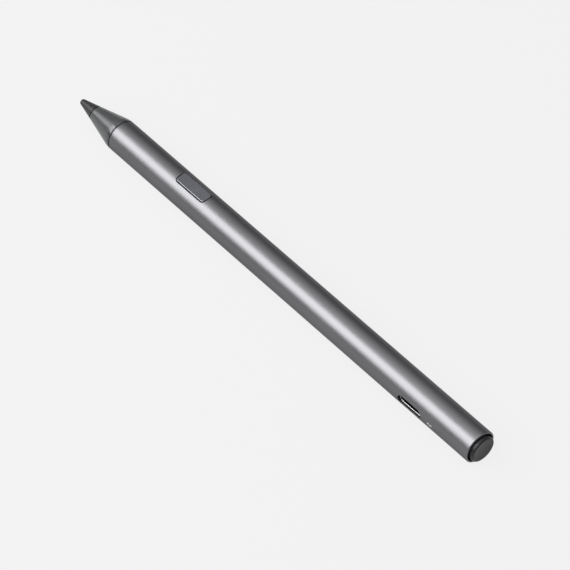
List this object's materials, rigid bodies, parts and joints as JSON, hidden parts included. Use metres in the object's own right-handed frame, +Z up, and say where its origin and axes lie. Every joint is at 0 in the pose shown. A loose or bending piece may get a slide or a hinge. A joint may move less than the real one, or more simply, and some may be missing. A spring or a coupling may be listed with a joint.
{
  "type": "active stylus pen",
  "caption": "Slim round active stylus for a tablet: conical nose with a pull-out nib, flat side button, charging port, status light and a push button at the tail.",
  "frame": {"origin": "centre of the length and width, on the plane of the magnet flat that the pen rests on", "axes": "+X along the pen from the writing tip to the tail, +Z up through the side button, -Y through the charging port"},
  "size_m": [0.1619, 0.0094, 0.0093],
  "materials": {
    "anodised_aluminium": "fine bead-blasted and anodised space grey, satin",
    "nose_paint": "semi-gloss grey paint over plastic",
    "nib_polymer": "hard dark polymer, satin from use",
    "button_finish": "matt grey with bright cut edges",
    "tail_plastic": "fine moulded texture, dark grey",
    "port_steel": "bright rolled steel",
    "light_pipe": "milky clear plastic",
    "led_body": "white package",
    "frame_plastic": "moulded glass-filled plastic",
    "circuit_board": "green solder mask",
    "chip_epoxy": "black epoxy",
    "steel": "plain stamped steel",
    "spring_steel": "drawn spring wire",
    "brass": "turned brass",
    "gold_plate": "gold plating",
    "magnet_nickel": "nickel plating",
    "white_nylon": "natural nylon",
    "seal_rubber": "black silicone",
    "flex_film": "amber polyimide film",
    "cell_wrap": "shrink wrap",
    "foam": "closed-cell foam",
    "lead_red": "insulation",
    "lead_black": "insulation"
  },
  "bodies": {
    "pen_body": {"nib_spring": "spring_steel", "spring_seat": "white_nylon", "tilt_electrode": "brass", "front_seal": "seal_rubber", "nose_cone": "nose_paint", "force_sensor": "steel", "sensor_flex": "flex_film", "barrel": "anodised_aluminium", "inner_frame": "frame_plastic", "frame_screw_front": "steel", "frame_screw_rear": "steel", "magnet_1": "magnet_nickel", "magnet_2": "magnet_nickel", "magnet_3": "magnet_nickel", "magnet_4": "magnet_nickel", "main_board": "circuit_board", "power_chip": "chip_epoxy", "side_switch": "steel", "main_chip": "chip_epoxy", "clock_crystal": "steel", "radio_shield": "steel", "battery_connector": "white_nylon", "battery_lead_positive": "lead_red", "battery_lead_negative": "lead_black", "battery_cell": "cell_wrap", "battery_foam_pad": "foam", "power_flex": "flex_film", "port_board": "circuit_board", "usb_c_shell": "port_steel", "usb_c_tongue": "chip_epoxy", "usb_c_contacts_upper": "gold_plate", "usb_c_contacts_lower": "gold_plate", "status_led": "led_body", "light_pipe": "light_pipe", "tail_board": "circuit_board", "tail_flex": "flex_film", "tail_switch": "steel", "tail_bushing": "white_nylon", "tail_spring": "spring_steel"},
    "nib_carrier": {"nib_holder": "brass"},
    "nib_tip": {"nib": "nib_polymer"},
    "side_key": {"side_button": "button_finish"},
    "side_switch_core": {"side_switch_plunger": "chip_epoxy"},
    "tail_key": {"tail_button": "tail_plastic"},
    "tail_switch_core": {"tail_switch_plunger": "chip_epoxy"}
  },
  "joints": [
    {"name": "nib_press", "type": "slide", "parent": "pen_body", "child": "nib_carrier", "axis": [1, 0, 0], "range_m": [0, 0.0002], "stiffness_N_per_m": 500, "springref_m": -0.001, "deforming": ["nib_spring"]},
    {"name": "nib_pull", "type": "slide", "parent": "nib_carrier", "child": "nib_tip", "axis": [-1, 0, 0], "range_m": [0, 0.012]},
    {"name": "side_button_press", "type": "slide", "parent": "pen_body", "child": "side_key", "axis": [0, 0, -1], "range_m": [0, 0.0003], "stiffness_N_per_m": 500, "springref_m": -0.001},
    {"name": "side_switch_press", "type": "slide", "parent": "pen_body", "child": "side_switch_core", "axis": [0, 0, -1], "range_m": [0, 0.0003]},
    {"name": "tail_button_press", "type": "slide", "parent": "pen_body", "child": "tail_key", "axis": [-1, 0, 0], "range_m": [0, 0.00035], "stiffness_N_per_m": 500, "springref_m": -0.001, "deforming": ["tail_spring"]},
    {"name": "tail_switch_press", "type": "slide", "parent": "pen_body", "child": "tail_switch_core", "axis": [-1, 0, 0], "range_m": [0, 0.00035]}
  ],
  "couplings": [
    {"joint": "side_switch_press", "follows": "side_button_press", "ratio": 1},
    {"joint": "tail_switch_press", "follows": "tail_button_press", "ratio": 1}
  ]
}
